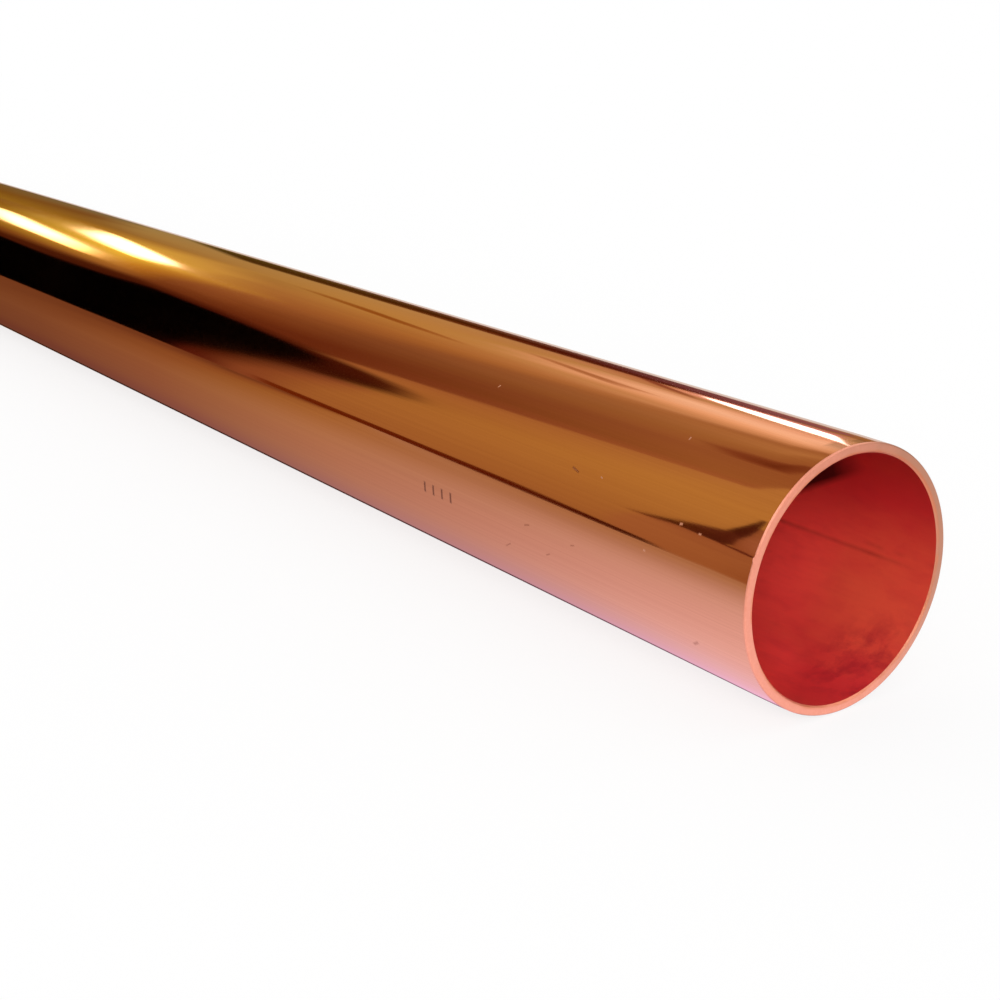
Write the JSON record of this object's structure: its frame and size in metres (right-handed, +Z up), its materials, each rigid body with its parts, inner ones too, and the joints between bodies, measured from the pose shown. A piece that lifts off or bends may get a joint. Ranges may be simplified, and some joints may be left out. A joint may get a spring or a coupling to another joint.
{
  "type": "straight copper tube",
  "caption": "Straight drawn copper tube with a round bore, square-cut ends, rounded outer edges and reamed mouths; carries water or gas between end fittings.",
  "frame": {"origin": "on the floor under the middle of the tube, one outside radius below its axis", "axes": "+X along the tube towards the end that the picture shows, +Y to the far side of the tube, +Z up from the floor that it lies on"},
  "size_m": [1, 0.0538, 0.054],
  "materials": {
    "bright_copper": "polished"
  },
  "bodies": {
    "root": {"tube": "bright_copper"}
  },
  "joints": []
}
